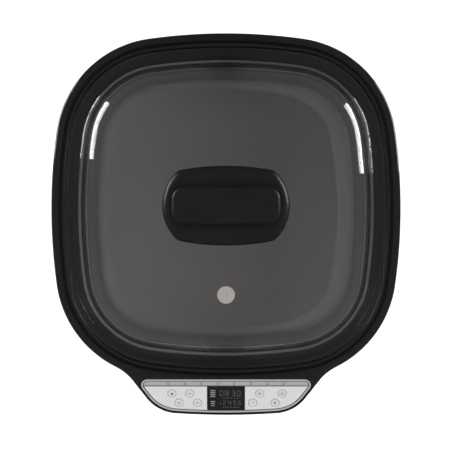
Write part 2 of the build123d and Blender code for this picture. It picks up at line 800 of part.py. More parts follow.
def make_power():
    """Power board with its transformer, relay and capacitors, under the well."""
    x, y = board_corner()
    top = board_low + board_thickness

    def part(left, rear, size):
        width, depth, height = size
        return block((x + left, x + left + width), (y - rear - depth, y - rear), (top, top + height))

    board = block((x, x + power_board_width), (y - power_board_depth, y), (board_low, top))
    capacitors = [
        disc(capacitor_radius, top, top + capacitor_height, x + across, y - capacitor_rear)
        for across in capacitor_places
    ]
    return {
        "power_board": board,
        "power_transformer": part(*transformer_place, transformer_size),
        "power_relay": part(*relay_place, relay_size),
        "filter_capacitors": Compound(capacitors),
    }


def make_inlet():
    """Three-blade appliance inlet at the rear and its blades."""
    back, front = base_reach - inlet_depth, housing_reach(inlet_height + inlet_half_height) + 1.5
    socket = inlet_half_width - inlet_wall, inlet_half_height - inlet_wall
    z = (inlet_height - inlet_half_height, inlet_height + inlet_half_height)
    body = block((-inlet_half_width, inlet_half_width), (back, front), z)
    body = fillet(body.edges().filter_by(Axis.Y), 2)
    mouth = (inlet_height - socket[1], inlet_height + socket[1])
    body -= block((-socket[0], socket[0]), (back + inlet_back_wall, front + over), mouth)
    blades = []
    for x, rise in blade_places:
        z = inlet_height + rise
        wide, high = blade_half
        along = (back - blade_tail, front - blade_recess)
        blades.append(block((x - wide, x + wide), along, (z - high, z + high)))
    for blade in blades:
        body -= blade
    return {"power_inlet": body, "inlet_blades": Compound(blades)}


def make_hand_grip(side):
    """Moulded hand pocket let into one side of the housing, with a lifting lip."""
    low, high = pocket_low, pocket_high

    def span(half):
        return block(sorted((0, side * 2 * half_width)), (-half, half), (0, rim_height))

    back = blanket_reach(high) + snug
    lip = half_width - 0.8
    plug = band(
        (back, low + snug), (housing_reach(low), low + snug),
        (housing_reach(high), high - snug), (back, high - snug),
    ) & span(pocket_half_length - snug)
    face_low, face_high = low - pocket_frame, high + pocket_frame
    face = band(
        (housing_reach(face_low) + snug, face_low), (housing_reach(face_low) + 1.5, face_low, 0.6),
        (housing_reach(high - 5) + 1.5, high - 5, 1.5),
        (lip, high - 3, 1.2),
        (lip, high + 1, 1.2),
        (housing_reach(face_high) + 0.8, face_high),
        (housing_reach(face_high) + snug, face_high),
    ) & span(pocket_half_length + pocket_frame + 1)
    link = band(
        (housing_reach(low) - 1, low + snug), (housing_reach(low) + 0.5, low + snug),
        (housing_reach(high) + 0.5, high - snug), (housing_reach(high) - 1, high - snug),
    ) & span(pocket_half_length - snug)
    pocket = band(
        (back + pocket_wall, low + pocket_frame), (half_width + over, low + pocket_frame),
        (half_width + over, high - pocket_frame - 2), (back + pocket_wall, high - pocket_frame),
    ) & span(pocket_half_length - pocket_frame)
    return plug + face + link - pocket


def wire_lane(height):
    """Middle of the gap between insulation and housing, at the front."""
    return 0, -(blanket_reach(height) + wire_radius + wire_clearance), height


def make_harness():
    """Wire bundles: inlet to board, and board to control pod."""
    x, y = board_corner()
    inlet_back = base_reach - inlet_depth
    front = y - power_board_depth
    floor = foot_height + cover_thickness + 4.5
    exit_height = wire_slot_low + wire_slot_height - 5
    runs = [
        ([(-11, inlet_back - 1, inlet_height), (-11, inlet_back - 14, inlet_height),
          (-30, y + 12, inlet_height - 6), (-45, y + 6, floor)], 6),
        ([(-55, front - 1, floor + 2), (-52, front - 50, floor), (-20, -100, floor),
          (-4, -base_reach + 14, floor + 11), wire_lane(well_bottom + 18), wire_lane(exit_height),
          (0, -half_width - 5, exit_height + 1.5)], 7),
    ]
    wires = []
    for points, bend in runs:
        path = FilletPolyline(*points, radius=bend)
        wires.append(sweep(Plane(path @ 0, z_dir=path % 0) * Circle(wire_radius), path))
    return Compound([w.solid() for w in wires])


def all_nodes():
    band_low, blanket_high = pot_bottom + band_rise, rim_bottom - blanket_drop
    jacket = well_jacket(band_gap, band_thickness, band_low, band_low + band_height)
    split = (-band_split / 2, band_split / 2)
    jacket -= block(split, (-half_width, 0), (band_low - over, band_low + band_height + over))
    blanket = well_jacket(blanket_gap, blanket_thickness, well_bottom + blanket_rise, blanket_high)
    fuse = Rot(0, 90, 0) * Cylinder(fuse_radius, fuse_length)
    fuse = Pos(*fuse_place, well_bottom - fuse_radius - snug) * fuse
    nodes = {
        "outer_housing": make_outer_housing(),
        "top_rim": make_top_rim(),
        "control_housing": make_control_housing(),
        "inner_well": make_inner_well(),
        "base_heater": make_base_heater(),
        "heater_terminals": make_heater_terminals(),
        "band_heater": jacket,
        "insulation_blanket": blanket,
        "thermal_fuse": fuse,
        "bottom_cover": make_bottom_cover(),
        "rubber_feet": make_feet(),
        "base_screws": make_base_screws(),
        "rim_screws": make_rim_screws(),
        "hand_grip_left": make_hand_grip(-1),
        "hand_grip_right": make_hand_grip(1),
        "wiring_harness": make_harness(),
        "cooking_pot": make_pot(),
        "lid_glass": make_glass(),
        "steam_vent": make_vent(),
    }
    nodes.update(make_panel())
    nodes.update({name: make_button(x, down) for name, (x, down) in BUTTONS.items()})
    nodes.update(make_sensor())
    nodes.update(make_handle())
    nodes.update(make_power())
    nodes.update(make_inlet())
    return nodes


os.makedirs("parts", exist_ok=True)
for name, shape in all_nodes().items():
    export_step(Pos(0, origin_shift, 0) * shape, f"parts/{name}.step")
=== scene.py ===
import bpy
import json
from math import acos, atan2, cos, hypot, pi, radians, sin, sqrt
from mathutils import Matrix, Vector


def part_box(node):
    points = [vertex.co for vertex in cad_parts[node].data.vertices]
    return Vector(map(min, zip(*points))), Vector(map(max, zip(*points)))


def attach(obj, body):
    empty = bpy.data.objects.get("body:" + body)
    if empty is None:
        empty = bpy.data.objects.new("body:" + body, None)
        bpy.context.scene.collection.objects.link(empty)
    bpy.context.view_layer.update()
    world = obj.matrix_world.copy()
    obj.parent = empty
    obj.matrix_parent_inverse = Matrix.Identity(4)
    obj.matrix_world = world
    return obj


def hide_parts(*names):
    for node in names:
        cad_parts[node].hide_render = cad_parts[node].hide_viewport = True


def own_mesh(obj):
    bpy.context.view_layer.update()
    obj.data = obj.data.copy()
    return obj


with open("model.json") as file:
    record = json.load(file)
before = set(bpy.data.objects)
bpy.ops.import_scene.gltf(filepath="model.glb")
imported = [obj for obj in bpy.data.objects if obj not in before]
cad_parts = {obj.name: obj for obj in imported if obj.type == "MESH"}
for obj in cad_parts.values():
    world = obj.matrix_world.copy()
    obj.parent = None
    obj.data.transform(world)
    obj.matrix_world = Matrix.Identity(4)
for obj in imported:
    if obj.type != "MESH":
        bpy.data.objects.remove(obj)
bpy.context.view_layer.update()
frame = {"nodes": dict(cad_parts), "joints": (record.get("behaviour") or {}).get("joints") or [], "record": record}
mm = 0.001
creaseAngle = radians(32)  # edges sharper than this stay hard
mergeGap = 1e-6

# the frame that everything is placed from
potLow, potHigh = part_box("cooking_pot")
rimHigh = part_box("top_rim")[1]
middle = Vector((0, (potLow.y + potHigh.y) / 2, 0))  # centre of the square outline
joints = {joint["name"]: joint for joint in frame["joints"]}
bodyOf = {n: body for body, members in frame["record"]["behaviour"]["bodies"].items() for n in members}
slotOf = {part["node"]: part["material_slot"] for part in frame["record"]["subparts"]}
deckNormal = -Vector(joints["press_power"]["axis"])  # the keys press straight into the sloped deck
deckBack = deckNormal.cross(Vector((1, 0, 0)))  # up the slope
print("frame loaded, outline centre", [round(v, 4) for v in middle])


# shared modelling
def startPiece(name):
    # a new mesh of one point at the origin, left in edit mode
    bpy.ops.object.select_all(action="DESELECT")
    bpy.ops.mesh.primitive_plane_add(size=mm, location=(0, 0, 0))
    piece = bpy.context.object
    piece.name = name
    piece.data.name = name
    bpy.ops.object.mode_set(mode="EDIT")
    bpy.ops.mesh.select_all(action="SELECT")
    bpy.ops.mesh.merge(type="CENTER")
    return piece


def roundCorners(corners, steps=6):
    # (reach, height, round) corners to a chain of points, each round an arc
    chain = [Vector(corners[0][:2])]
    for before, corner, after in zip(corners, corners[1:], corners[2:]):
        here = Vector(corner[:2])
        size = corner[2] if len(corner) > 2 else 0
        if not size:
            chain.append(here)
            continue
        inward = (Vector(before[:2]) - here).normalized()
        onward = (Vector(after[:2]) - here).normalized()
        half = acos(max(-1, min(1, inward.dot(onward)))) / 2
        centre = here + (inward + onward).normalized() * (size / sin(half))
        start = here + inward * (size * cos(half) / sin(half)) - centre
        end = here + onward * (size * cos(half) / sin(half)) - centre
        turn = atan2(start.x * end.y - start.y * end.x, start.dot(end))
        for i in range(steps + 1):
            a = turn * i / steps
            across, up = start.x * cos(a) - start.y * sin(a), start.x * sin(a) + start.y * cos(a)
            chain.append(centre + Vector((across, up)))
    chain.append(Vector(corners[-1][:2]))
    return chain


def drawChain(name, chain, place):
    # the chain as edges in the XZ plane, on the +X side of place; reach and height in mm
    piece = startPiece(name)
    bpy.ops.transform.translate(value=(place.x + chain[0].x * mm, place.y, place.z + chain[0].y * mm))
    for here, there in zip(chain, chain[1:]):
        step = (there - here) * mm
        bpy.ops.mesh.extrude_vertices_move(TRANSFORM_OT_translate={"value": (step.x, 0, step.y)})
    return piece


def carryRound(piece, route):
    # carry the chain round a closed route of straight runs and turns, then close its ends
    bpy.ops.mesh.select_all(action="SELECT")
    for kind, *leg in route:
        if kind == "run":
            bpy.ops.mesh.extrude_edges_move(TRANSFORM_OT_translate={"value": leg[0]})
        else:
            centre, angle, steps = leg
            # a minus turns anticlockwise here
            bpy.ops.mesh.spin(steps=steps, angle=-angle, center=centre, axis=(0, 0, 1))
    bpy.ops.mesh.select_all(action="SELECT")
    bpy.ops.mesh.remove_doubles(threshold=mergeGap)
    bpy.ops.mesh.fill_holes(sides=0)
    bpy.ops.mesh.select_all(action="SELECT")
    bpy.ops.mesh.normals_make_consistent(inside=False)
    bpy.ops.object.mode_set(mode="OBJECT")
    smoothPiece(piece)


def pickOnly(piece):
    bpy.ops.object.select_all(action="DESELECT")
    piece.select_set(True)
    bpy.context.view_layer.objects.active = piece


def smoothPiece(piece):
    pickOnly(piece)
    bpy.ops.object.shade_smooth_by_angle(angle=creaseAngle)


def cutHoles(piece, cutters):
    for cutter in cutters:
        hole = piece.modifiers.new("hole", "BOOLEAN")
        hole.operation = "DIFFERENCE"
        hole.object = cutter
        hole.solver = "EXACT"
        pickOnly(piece)
        bpy.ops.object.modifier_apply(modifier=hole.name)
        bpy.data.objects.remove(cutter)


def refine(node):
    # a merged, smoothed copy of a CAD node's mesh that stands for the node
    source = frame["nodes"][node]
    piece = source.copy()
    piece.data = source.data.copy()
    piece.name = nodeName(node)
    bpy.context.collection.objects.link(piece)
    pickOnly(piece)
    bpy.ops.mesh.customdata_custom_splitnormals_clear()
    bpy.ops.object.mode_set(mode="EDIT")
    bpy.ops.mesh.select_all(action="SELECT")
    bpy.ops.mesh.remove_doubles(threshold=mergeGap)
    bpy.ops.object.mode_set(mode="OBJECT")
    smoothPiece(piece)
    settle(piece, bodyOf[node], slotOf[node], node)
    return piece


def nodeName(node):
    first, *rest = node.split("_")
    return first + "".join(word.capitalize() for word in rest) + "Shape"


def settle(piece, body, slotName, *nodes):
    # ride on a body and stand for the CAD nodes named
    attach(piece, body)
    if nodes:
        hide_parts(*nodes)


def dress(piece, material):
    piece.data.materials.clear()
    piece.data.materials.append(material)


# the square outline as a route
outline = dict(halfWidth=rimHigh.x, sideRadius=530 * mm, cornerRadius=103.4 * mm, sideSteps=14,
               cornerSteps=26)


def outlineRoute():
    # four bowed sides and four rounds, from the +X side's middle, anticlockwise
    bow = outline["sideRadius"] - outline["halfWidth"]
    drop = outline["sideRadius"] - outline["cornerRadius"]
    corner = (sqrt(2 * drop ** 2 - bow ** 2) - bow) / 2
    half = atan2(corner, corner + bow)
    route = []
    for quarter in range(5):
        turn = Matrix.Rotation(quarter * pi / 2, 3, "Z")
        side = middle + turn @ Vector((-bow, 0, 0))
        halves = 1 if quarter in (0, 4) else 2  # the route starts and ends halfway along a side
        route.append(("turn", side, halves * half, halves * outline["sideSteps"] // 2))
        if quarter < 4:
            cornerCentre = middle + turn @ Vector((corner, corner, 0))
            route.append(("turn", cornerCentre, pi / 2 - 2 * half, outline["cornerSteps"]))
    return route


# shared effects for the materials
def newGroup(name, inputs, outputs):
    group = bpy.data.node_groups.new(name, "ShaderNodeTree")
    for label, start in inputs:
        socket = group.interface.new_socket(name=label, in_out="INPUT", socket_type="NodeSocketFloat")
        socket.default_value = start
    for label in outputs:
        group.interface.new_socket(name=label, in_out="OUTPUT", socket_type="NodeSocketFloat")
    return group, group.nodes.new("NodeGroupInput"), group.nodes.new("NodeGroupOutput")


def addNode(tree, kind, **settings):
    node = tree.nodes.new(kind)
    for key, value in settings.items():
        setattr(node, key, value)
    return node


def makeFineGrain():
    # small random grain: a roughness between two values and a height
    starts = [("Scale", 400), ("Least", 0.3), ("Most", 0.5)]
    group, given, out = newGroup("fineGrain", starts, ["Rough", "Height"])
    link = group.links.new
    place = addNode(group, "ShaderNodeTexCoord")
    noise = addNode(group, "ShaderNodeTexNoise")
    noise.inputs["Detail"].default_value = 3
    spread = addNode(group, "ShaderNodeMapRange")
    spread.inputs["From Min"].default_value = 0.3
    spread.inputs["From Max"].default_value = 0.7
    link(place.outputs["Object"], noise.inputs["Vector"])
    link(given.outputs["Scale"], noise.inputs["Scale"])
    link(noise.outputs["Fac"], spread.inputs["Value"])
    link(given.outputs["Least"], spread.inputs["To Min"])
    link(given.outputs["Most"], spread.inputs["To Max"])
    link(spread.outputs["Result"], out.inputs["Rough"])
    link(noise.outputs["Fac"], out.inputs["Height"])
    return group


def makeSoftDust():
    # thin dust that lies on faces that look up, in uneven patches
    group, given, out = newGroup("softDust", [("Scale", 20), ("Amount", 0.1)], ["Mask"])
    link = group.links.new
    place = addNode(group, "ShaderNodeTexCoord")
    patches = addNode(group, "ShaderNodeTexNoise")
    patches.inputs["Detail"].default_value = 6
    specks = addNode(group, "ShaderNodeTexNoise")
    specks.inputs["Scale"].default_value = 900
    facing = addNode(group, "ShaderNodeSeparateXYZ")
    geometry = addNode(group, "ShaderNodeNewGeometry")
    upward = addNode(group, "ShaderNodeMapRange")
    upward.inputs["From Min"].default_value = 0.2
    thin = addNode(group, "ShaderNodeMapRange")
    thin.inputs["From Min"].default_value = 0.4
    thin.inputs["From Max"].default_value = 0.75
    both = addNode(group, "ShaderNodeMath", operation="MULTIPLY")
    lifted = addNode(group, "ShaderNodeMath", operation="MULTIPLY")
    scaled = addNode(group, "ShaderNodeMath", operation="MULTIPLY")
    link(place.outputs["Object"], patches.inputs["Vector"])
    link(place.outputs["Object"], specks.inputs["Vector"])
    link(given.outputs["Scale"], patches.inputs["Scale"])
    link(geometry.outputs["Normal"], facing.inputs["Vector"])
    link(facing.outputs["Z"], upward.inputs["Value"])
    link(patches.outputs["Fac"], thin.inputs["Value"])
    link(thin.outputs["Result"], both.inputs[0])
    link(specks.outputs["Fac"], both.inputs[1])
    link(both.outputs["Value"], lifted.inputs[0])
    link(upward.outputs["Result"], lifted.inputs[1])
    link(lifted.outputs["Value"], scaled.inputs[0])
    link(given.outputs["Amount"], scaled.inputs[1])
    link(scaled.outputs["Value"], out.inputs["Mask"])
    return group


def makeBrushLines():
    # fine lines drawn round the upright axis, as on spun or brushed metal
    starts = [("Around", 2), ("Along", 900), ("Least", 0.2), ("Most", 0.4)]
    group, given, out = newGroup("brushLines", starts, ["Rough", "Height"])
    link = group.links.new
    place = addNode(group, "ShaderNodeTexCoord")
    stretch = addNode(group, "ShaderNodeCombineXYZ")
    scaled = addNode(group, "ShaderNodeVectorMath", operation="MULTIPLY")
    noise = addNode(group, "ShaderNodeTexNoise")
    noise.inputs["Scale"].default_value = 1
    noise.inputs["Detail"].default_value = 2
    spread = addNode(group, "ShaderNodeMapRange")
    spread.inputs["From Min"].default_value = 0.3
    spread.inputs["From Max"].default_value = 0.7
    link(given.outputs["Around"], stretch.inputs["X"])
    link(given.outputs["Around"], stretch.inputs["Y"])
    link(given.outputs["Along"], stretch.inputs["Z"])
    link(place.outputs["Object"], scaled.inputs[0])
    link(stretch.outputs["Vector"], scaled.inputs[1])
    link(scaled.outputs["Vector"], noise.inputs["Vector"])
    link(noise.outputs["Fac"], spread.inputs["Value"])
    link(given.outputs["Least"], spread.inputs["To Min"])
    link(given.outputs["Most"], spread.inputs["To Max"])
    link(spread.outputs["Result"], out.inputs["Rough"])
    link(noise.outputs["Fac"], out.inputs["Height"])
    return group


fineGrain, softDust, brushLines = makeFineGrain(), makeSoftDust(), makeBrushLines()
print("shared effects built")


# materials
def newMaterial(name):
    material = bpy.data.materials.new(name)
    material.use_nodes = True
    return material, material.node_tree, material.node_tree.nodes["Principled BSDF"]


def placeGroup(tree, group, **values):
    node = addNode(tree, "ShaderNodeGroup")
    node.node_tree = group
    for label, value in values.items():
        node.inputs[label].default_value = value
    return node


bumpDepth = dict(moulded=0.0002, metal=0.0001)  # metres
shadeSpan = dict(moulded=(0.9, 1.12), metal=(0.86, 1.08))  # darkest and lightest share of a colour
dustColour = (0.45, 0.43, 0.4)


def addBump(tree, shader, height, strength, distance):
    bump = addNode(tree, "ShaderNodeBump")
    bump.inputs["Strength"].default_value = strength
    bump.inputs["Distance"].default_value = distance
    tree.links.new(height, bump.inputs["Height"])
    tree.links.new(bump.outputs["Normal"], shader.inputs["Normal"])


def twoShades(tree, colour, span, height):
    # a mix of a darker and a lighter shade of the colour, following the texture's height
    shade = addNode(tree, "ShaderNodeMix", data_type="RGBA")
    shade.inputs["A"].default_value = (*[c * span[0] for c in colour], 1)
    shade.inputs["B"].default_value = (*[min(1, c * span[1]) for c in colour], 1)
    tree.links.new(height, shade.inputs["Factor"])
    return shade


def mouldedFinish(name, colour, rough, grain, bump=0.0, dust=0.0, specular=0.5):
    # moulded or painted surface: two close shades, grain in the gloss and a little dust
    material, tree, shader = newMaterial(name)
    link = tree.links.new
    shader.inputs["Specular IOR Level"].default_value = specular
    texture = placeGroup(tree, fineGrain, Scale=grain, Least=rough[0], Most=rough[1])
    shade = twoShades(tree, colour, shadeSpan["moulded"], texture.outputs["Height"])
    lying = placeGroup(tree, softDust, Scale=18, Amount=dust)
    dusted = addNode(tree, "ShaderNodeMix", data_type="RGBA")
    dusted.inputs["B"].default_value = (*dustColour, 1)
    link(lying.outputs["Mask"], dusted.inputs["Factor"])
    link(shade.outputs["Result"], dusted.inputs["A"])
    link(dusted.outputs["Result"], shader.inputs["Base Color"])
    link(texture.outputs["Rough"], shader.inputs["Roughness"])
    if bump:
        addBump(tree, shader, texture.outputs["Height"], bump, bumpDepth["moulded"])
    return material


def metalFinish(name, colour, rough, around, along, bump):
    # bare metal with drawn or spun lines and a slightly uneven tone
    # around and along set how fine the lines are across and up the piece
    material, tree, shader = newMaterial(name)
    link = tree.links.new
    lines = placeGroup(tree, brushLines, Around=around, Along=along, Least=rough[0], Most=rough[1])
    shade = twoShades(tree, colour, shadeSpan["metal"], lines.outputs["Height"])
    link(shade.outputs["Result"], shader.inputs["Base Color"])
    link(lines.outputs["Rough"], shader.inputs["Roughness"])
    shader.inputs["Metallic"].default_value = 1
    addBump(tree, shader, lines.outputs["Height"], bump, bumpDepth["metal"])
    return material


def glassFinish(name, tint, rough):
    # clear glass; shadow rays pass straight through, so the pot under it is lit
    material, tree, shader = newMaterial(name)
    link = tree.links.new
    shader.inputs["Base Color"].default_value = (*tint, 1)
    shader.inputs["Transmission Weight"].default_value = 1
    shader.inputs["IOR"].default_value = 1.5
    grain = placeGroup(tree, fineGrain, Scale=60, Least=rough[0], Most=rough[1])
    link(grain.outputs["Rough"], shader.inputs["Roughness"])
    through = addNode(tree, "ShaderNodeBsdfTransparent")
    through.inputs["Color"].default_value = (0.9, 0.9, 0.9, 1)
    ray = addNode(tree, "ShaderNodeLightPath")
    either = addNode(tree, "ShaderNodeMixShader")
    output = tree.nodes["Material Output"]
    link(ray.outputs["Is Shadow Ray"], either.inputs["Fac"])
    link(shader.outputs["BSDF"], either.inputs[1])
    link(through.outputs["BSDF"], either.inputs[2])
    link(either.outputs["Shader"], output.inputs["Surface"])
    return material


# tones from the floor up, where each ends as a share of the pot's height, and the flecks in them; the darker wall
# and black rim tones are painted shade
coating = dict(floorTone=(0.185, 0.176, 0.168), wallTone=(0.068, 0.062, 0.058),
               rimTone=(0.002, 0.002, 0.002), outerTone=(0.004, 0.004, 0.004), rough=(0.34, 0.42),
               floorEnds=0.05, wallRuns=(0.2, 0.75), rimStarts=0.9, flecks=420, fleckCore=0.08,
               fleckEdge=0.22, fleckShare=0.35, fleckGain=2.2, facingDown=-0.3, facingOut=0.004, bump=0.02)


def potCoatingWithPaintedShade(name):
    # sprayed coating: stone grey floor, black outside and fine flecks, with painted shade that darkens the wall
    # and turns the rim black
    material, tree, shader = newMaterial(name)
    link = tree.links.new
    place = addNode(tree, "ShaderNodeTexCoord")
    height = addNode(tree, "ShaderNodeSeparateXYZ")
    rise = addNode(tree, "ShaderNodeMapRange")
    rise.inputs["From Min"].default_value = potLow.z
    rise.inputs["From Max"].default_value = potHigh.z
    # painted shade: by height the colour darkens from the floor up the wall to black at the rim
    bands = addNode(tree, "ShaderNodeValToRGB")
    stops = bands.color_ramp.elements
    stops[0].position, stops[0].color = coating["floorEnds"], (*coating["floorTone"], 1)
    stops[1].position, stops[1].color = coating["rimStarts"], (*coating["rimTone"], 1)
    for spot in coating["wallRuns"]:
        stops.new(spot).color = (*coating["wallTone"], 1)
    fromMiddle = addNode(tree, "ShaderNodeVectorMath", operation="SUBTRACT")
    fromMiddle.inputs[1].default_value = middle
    flat = addNode(tree, "ShaderNodeVectorMath", operation="MULTIPLY")
    flat.inputs[1].default_value = (1, 1, 0)
    outward = addNode(tree, "ShaderNodeVectorMath", operation="DOT_PRODUCT")
    facing = addNode(tree, "ShaderNodeSeparateXYZ")
    downward = addNode(tree, "ShaderNodeMath", operation="LESS_THAN")
    downward.inputs[1].default_value = coating["facingDown"]
    sideways = addNode(tree, "ShaderNodeMath", operation="GREATER_THAN")
    sideways.inputs[1].default_value = coating["facingOut"]
    outside = addNode(tree, "ShaderNodeMath", operation="MAXIMUM")
    coated = addNode(tree, "ShaderNodeMix", data_type="RGBA")
    coated.inputs["B"].default_value = (*coating["outerTone"], 1)
    link(place.outputs["Object"], fromMiddle.inputs[0])
    link(fromMiddle.outputs["Vector"], flat.inputs[0])
    link(flat.outputs["Vector"], outward.inputs[0])
    link(place.outputs["Normal"], outward.inputs[1])
    link(place.outputs["Normal"], facing.inputs["Vector"])
    link(facing.outputs["Z"], downward.inputs[0])
    link(outward.outputs["Value"], sideways.inputs[0])
    link(downward.outputs["Value"], outside.inputs[0])
    link(sideways.outputs["Value"], outside.inputs[1])
    link(outside.outputs["Value"], coated.inputs["Factor"])
    link(bands.outputs["Color"], coated.inputs["A"])
    cells = addNode(tree, "ShaderNodeTexVoronoi")
    cells.inputs["Scale"].default_value = coating["flecks"]
    near = addNode(tree, "ShaderNodeMapRange")
    near.inputs["From Min"].default_value = coating["fleckEdge"]
    near.inputs["From Max"].default_value = coating["fleckCore"]
    near.inputs["To Max"].default_value = coating["fleckShare"]
    fleck = addNode(tree, "ShaderNodeMix", data_type="RGBA", blend_type="MULTIPLY")
    fleck.inputs["B"].default_value = (*[coating["fleckGain"]] * 3, 1)
    least, most = coating["rough"]
    grain = placeGroup(tree, fineGrain, Scale=300, Least=least, Most=most)
    link(place.outputs["Object"], height.inputs["Vector"])
    link(height.outputs["Z"], rise.inputs["Value"])
    link(rise.outputs["Result"], bands.inputs["Fac"])
    link(place.outputs["Object"], cells.inputs["Vector"])
    link(cells.outputs["Distance"], near.inputs["Value"])
    link(near.outputs["Result"], fleck.inputs["Factor"])
    link(coated.outputs["Result"], fleck.inputs["A"])
    link(fleck.outputs["Result"], shader.inputs["Base Color"])
    link(grain.outputs["Rough"], shader.inputs["Roughness"])
    addBump(tree, shader, grain.outputs["Height"], coating["bump"], bumpDepth["metal"])
    return material


def boardFinish(name):
    # solder mask with copper tracks showing as lighter bands
    material, tree, shader = newMaterial(name)
    link = tree.links.new
    place = addNode(tree, "ShaderNodeTexCoord")
    tracks = addNode(tree, "ShaderNodeTexBrick")
    tracks.inputs["Scale"].default_value = 90
    tracks.inputs["Mortar Size"].default_value = 0.06
    tracks.inputs["Color1"].default_value = (0.01, 0.1, 0.04, 1)
    tracks.inputs["Color2"].default_value = (0.012, 0.12, 0.05, 1)
    tracks.inputs["Mortar"].default_value = (0.03, 0.2, 0.09, 1)
    link(place.outputs["Object"], tracks.inputs["Vector"])
    link(tracks.outputs["Color"], shader.inputs["Base Color"])
    grain = placeGroup(tree, fineGrain, Scale=200, Least=0.28, Most=0.4)
    link(grain.outputs["Rough"], shader.inputs["Roughness"])
    return material


def wireFinish(name):
    # sleeved wires, their colour changing along the run
    material, tree, shader = newMaterial(name)
    link = tree.links.new
    place = addNode(tree, "ShaderNodeTexCoord")
    bands = addNode(tree, "ShaderNodeTexNoise")
    bands.inputs["Scale"].default_value = 14
    ramp = addNode(tree, "ShaderNodeValToRGB")
    ramp.color_ramp.interpolation = "CONSTANT"
    ramp.color_ramp.elements[0].color = (0.02, 0.02, 0.022, 1)
    ramp.color_ramp.elements[1].color = (0.3, 0.3, 0.3, 1)
    ramp.color_ramp.elements[1].position = 0.52
    link(place.outputs["Object"], bands.inputs["Vector"])
    link(bands.outputs["Fac"], ramp.inputs["Fac"])
    link(ramp.outputs["Color"], shader.inputs["Base Color"])
    grain = placeGroup(tree, fineGrain, Scale=500, Least=0.45, Most=0.6)
    link(grain.outputs["Rough"], shader.inputs["Roughness"])
    return material


materials = {
    "gloss_black": mouldedFinish("glossBlack", (0.0036, 0.0036, 0.0037), (0.05, 0.09), grain=90,
                                 dust=0.003),
    "housing_black": mouldedFinish("satinHousing", (0.004, 0.004, 0.0042), (0.26, 0.31), grain=700,
                                   bump=0.01, dust=0.004),
    "black_plastic": mouldedFinish("texturedPlastic", (0.008, 0.008, 0.0082), (0.5, 0.62), grain=1100,
                                   bump=0.35, dust=0.006),
    "handle_black": mouldedFinish("handlePlastic", (0.0032, 0.0032, 0.0033), (0.36, 0.44), grain=800,
                                  bump=0.06, dust=0.004, specular=0.28),
    "bright_trim": mouldedFinish("brightTrim", (0.2, 0.2, 0.203), (0.16, 0.24), grain=700, bump=0.01),
    "silver_panel": mouldedFinish("silverFilm", (0.315, 0.315, 0.318), (0.34, 0.42), grain=900,
                                  bump=0.02, dust=0.02),
    "label_silver": mouldedFinish("labelFilm", (0.18, 0.18, 0.183), (0.36, 0.44), grain=900,
                                  bump=0.02, dust=0.02),
    "display_glass": mouldedFinish("displayWindow", (0.005, 0.005, 0.0055), (0.08, 0.12), grain=120,
                                   dust=0.004),
    "display": mouldedFinish("displayModule", (0.03, 0.035, 0.032), (0.3, 0.4), grain=300, bump=0.02),
    "key_silver": mouldedFinish("keySilver", (0.3, 0.3, 0.303), (0.26, 0.32), grain=900,
                                bump=0.02, dust=0.02),
    "light_pipe": mouldedFinish("smokedPipe", (0.1, 0.1, 0.1), (0.15, 0.22), grain=300),
    "circuit_board": boardFinish("circuitBoard"),
    "component_black": mouldedFinish("mouldedComponent", (0.02, 0.02, 0.02), (0.5, 0.6), grain=900,
                                     bump=0.1),
    "capacitor_blue": mouldedFinish("capacitorSleeve", (0.03, 0.05, 0.2), (0.25, 0.35), grain=300,
                                    bump=0.02),
    "transformer": mouldedFinish("transformerTape", (0.42, 0.32, 0.05), (0.35, 0.5), grain=200, bump=0.08),
    "well_steel": metalFinish("drawnSteel", (0.55, 0.54, 0.52), (0.3, 0.36), around=3, along=1400,
                              bump=0.015),
    "cast_heater": metalFinish("castAluminium", (0.5, 0.5, 0.5), (0.4, 0.6), around=180, along=180,
                               bump=0.3),
    "band_metal": metalFinish("bandMetal", (0.45, 0.42, 0.38), (0.35, 0.5), around=4, along=400, bump=0.05),
    "insulation": mouldedFinish("glassFibre", (0.7, 0.68, 0.62), (0.85, 0.98), grain=350, bump=0.8),
    "fuse": mouldedFinish("fuseSleeve", (0.7, 0.7, 0.66), (0.5, 0.6), grain=500, bump=0.1),
    "fastener": metalFinish("zincScrews", (0.55, 0.55, 0.57), (0.25, 0.4), around=120, along=900,
                            bump=0.05),
    "spring_steel": metalFinish("springSteel", (0.5, 0.5, 0.52), (0.2, 0.32), around=300, along=300,
                                bump=0.02),
    "sensor_metal": metalFinish("sensorCap", (0.6, 0.6, 0.6), (0.22, 0.34), around=200, along=200,
                                bump=0.03),
    "brass_blade": metalFinish("platedBlades", (0.75, 0.62, 0.36), (0.2, 0.3), around=40, along=600,
                               bump=0.03),
    # the pot's coating colour, with painted shade darkening its wall and rim
    "pot_nonstick": potCoatingWithPaintedShade("potCoating"),
    "lid_glass": glassFinish("clearGlass", (0.93, 0.94, 0.94), (0.0, 0.02)),
    "silicone": mouldedFinish("ventSilicone", (0.16, 0.151, 0.145), (0.5, 0.6), grain=500,
                              bump=0.03, dust=0.02),
    "gasket": mouldedFinish("gasketRubber", (0.012, 0.012, 0.012), (0.55, 0.68), grain=700, bump=0.05),
    "rubber": mouldedFinish("footRubber", (0.012, 0.012, 0.012), (0.6, 0.75), grain=900, bump=0.15),
    "wire": wireFinish("wireSleeve"),
}
keyPrint = mouldedFinish("keyPrint", (0.012, 0.012, 0.013), (0.4, 0.5), grain=800)
stripPrint = mouldedFinish("stripPrint", (0.03, 0.03, 0.032), (0.4, 0.5), grain=800)
dimSegment = mouldedFinish("dimSegment", (0.045, 0.046, 0.046), (0.4, 0.5), grain=400)
litSegment = mouldedFinish("litSegment", (0.1, 0.102, 0.102), (0.4, 0.5), grain=400)

for node, piece in frame["nodes"].items():
    dress(piece, materials[slotOf[node]])
print("materials on", len(frame["nodes"]), "nodes")

